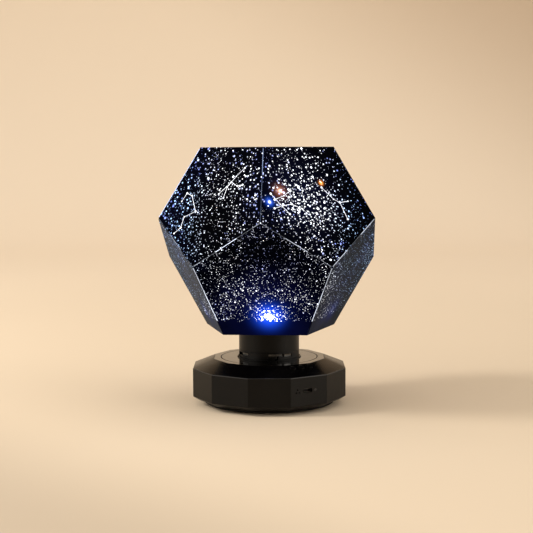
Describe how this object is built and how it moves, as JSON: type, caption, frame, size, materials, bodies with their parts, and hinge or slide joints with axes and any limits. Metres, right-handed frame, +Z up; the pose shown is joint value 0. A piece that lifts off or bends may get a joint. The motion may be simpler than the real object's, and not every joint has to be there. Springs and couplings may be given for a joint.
{
  "type": "planetarium projector",
  "caption": "Star projector for a desk: a twelve-sided printed film shade turns on a short neck over a small lamp, on a twelve-sided base with buttons and a charging socket.",
  "frame": {"origin": "middle of the foot ring's underside, on the axis that the shade turns about", "axes": "+Z up along the turning axis, -Y to the front, +X to the right as seen from the front"},
  "size_m": [0.1728, 0.1778, 0.2054],
  "materials": {
    "satin_black": "satin moulded black",
    "matt_black": "matt black",
    "foot_rubber": "matt soft rubber",
    "steel": "bright zinc",
    "acetal": "natural, smooth",
    "post_aluminium": "drawn tube",
    "white_board": "white solder mask",
    "led_phosphor": "yellow phosphor",
    "clear_lens": "clear",
    "cell_wrap": "shrink sleeve",
    "nickel": "nickel plate",
    "green_board": "green solder mask",
    "chip_black": "moulded package",
    "button_black": "satin",
    "lead_red": "flexible sleeve",
    "lead_white": "flexible sleeve",
    "lead_yellow": "flexible sleeve",
    "star_film": "glossy black printed film with clear stars"
  },
  "bodies": {
    "base": {"base_shell": "satin_black", "base_plate": "matt_black", "foot_ring": "foot_rubber", "plate_screws": "steel", "bearing_bush": "acetal", "slip_washer": "acetal", "lamp_post": "post_aluminium", "lamp_post_screws": "steel", "lamp_cap": "matt_black", "lamp_board": "white_board", "led_chips": "led_phosphor", "led_lens": "clear_lens", "battery_cell": "cell_wrap", "battery_holder": "matt_black", "battery_contacts": "nickel", "motor_can": "nickel", "motor_screws": "steel", "circuit_board": "green_board", "board_chips": "chip_black", "board_screws": "steel", "charge_socket": "nickel", "socket_tongue": "chip_black", "charge_light": "clear_lens", "button_board": "green_board", "button_board_screws": "steel", "button_switches": "chip_black", "lamp_lead": "lead_red", "motor_lead": "lead_white", "battery_lead": "lead_red", "button_lead": "lead_yellow"},
    "drive": {"drive_shaft": "steel", "drive_pinion": "acetal"},
    "turntable": {"turntable": "satin_black", "ring_gear": "acetal", "hub_clip": "steel"},
    "shade": {"neck_sleeve": "satin_black", "film_clamp": "matt_black", "lower_star_film": "star_film", "upper_star_film": "star_film"},
    "light_key": {"light_button": "button_black", "light_plunger": "acetal"},
    "colour_key": {"colour_button": "button_black", "colour_plunger": "acetal"},
    "turn_key": {"turn_button": "button_black", "turn_plunger": "acetal"}
  },
  "joints": [
    {"name": "shade_spin", "type": "hinge", "parent": "base", "child": "turntable", "pos_m": [0, 0, 0.0326], "axis": [0, 0, 1], "continuous": true},
    {"name": "pinion_spin", "type": "hinge", "parent": "base", "child": "drive", "pos_m": [0.02121, 0.02121, 0.0276], "axis": [0, 0, 1], "continuous": true},
    {"name": "bayonet_turn", "type": "hinge", "parent": "turntable", "child": "shade", "pos_m": [0, 0, 0.0426], "axis": [0, 0, 1], "range_deg": [0, 30]},
    {"name": "light_press", "type": "slide", "parent": "base", "child": "light_key", "axis": [-0.1933, 0.3348, -0.9223], "range_m": [0, 0.0006], "stiffness_N_per_m": 600},
    {"name": "colour_press", "type": "slide", "parent": "base", "child": "colour_key", "axis": [-0.1933, 0.3348, -0.9223], "range_m": [0, 0.0006], "stiffness_N_per_m": 600},
    {"name": "turn_press", "type": "slide", "parent": "base", "child": "turn_key", "axis": [-0.1933, 0.3348, -0.9223], "range_m": [0, 0.0006], "stiffness_N_per_m": 600}
  ],
  "couplings": [
    {"joint": "pinion_spin", "follows": "shade_spin", "ratio": -4}
  ]
}
